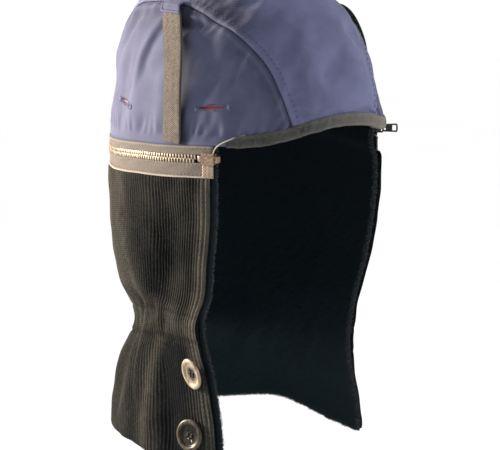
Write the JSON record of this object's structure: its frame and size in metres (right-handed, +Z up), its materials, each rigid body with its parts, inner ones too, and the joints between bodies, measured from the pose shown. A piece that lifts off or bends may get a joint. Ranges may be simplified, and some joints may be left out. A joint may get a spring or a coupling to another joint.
{
  "type": "helmet liner",
  "caption": "Quilt-lined twill helmet liner with side straps, brim zip and a gathered knit neck skirt lined with fleece; open face.",
  "frame": {"origin": "inside of the top of the crown lining, where a head carries the liner", "axes": "+Z up out of the crown, -Y out of the face opening, +X to the wearer's left"},
  "size_m": [0.1888, 0.2204, 0.347],
  "materials": {
    "twill": "matt twill",
    "lining": "quilted satin",
    "binding": "matt tape",
    "tape": "woven tape",
    "webbing": "ribbed webbing",
    "knit": "ribbed knit",
    "fleece": "brushed pile",
    "brass": "satin, worn",
    "copper": "copper-toned, worn",
    "black_metal": "satin black",
    "horn": "polished horn look"
  },
  "bodies": {
    "liner": {"brim_binding": "binding", "button_lower": "horn", "button_upper": "horn", "crown_centre_band": "twill", "crown_lining": "lining", "crown_panel_left": "twill", "crown_panel_right": "twill", "skirt_fleece": "fleece", "skirt_knit": "knit", "strap_left": "webbing", "strap_right": "webbing", "strap_tab_left": "twill", "strap_tab_right": "twill", "zip_box": "copper", "zip_slider": "black_metal", "zip_tape_lower": "tape", "zip_tape_upper": "tape", "zip_teeth": "brass"},
    "pull": {"zip_pull": "black_metal"}
  },
  "joints": [
    {"name": "pull_swing", "type": "hinge", "parent": "liner", "child": "pull", "pos_m": [0.08403, -0.04826, -0.11485], "axis": [0, 0, 1], "range_deg": [-58, 100]}
  ]
}
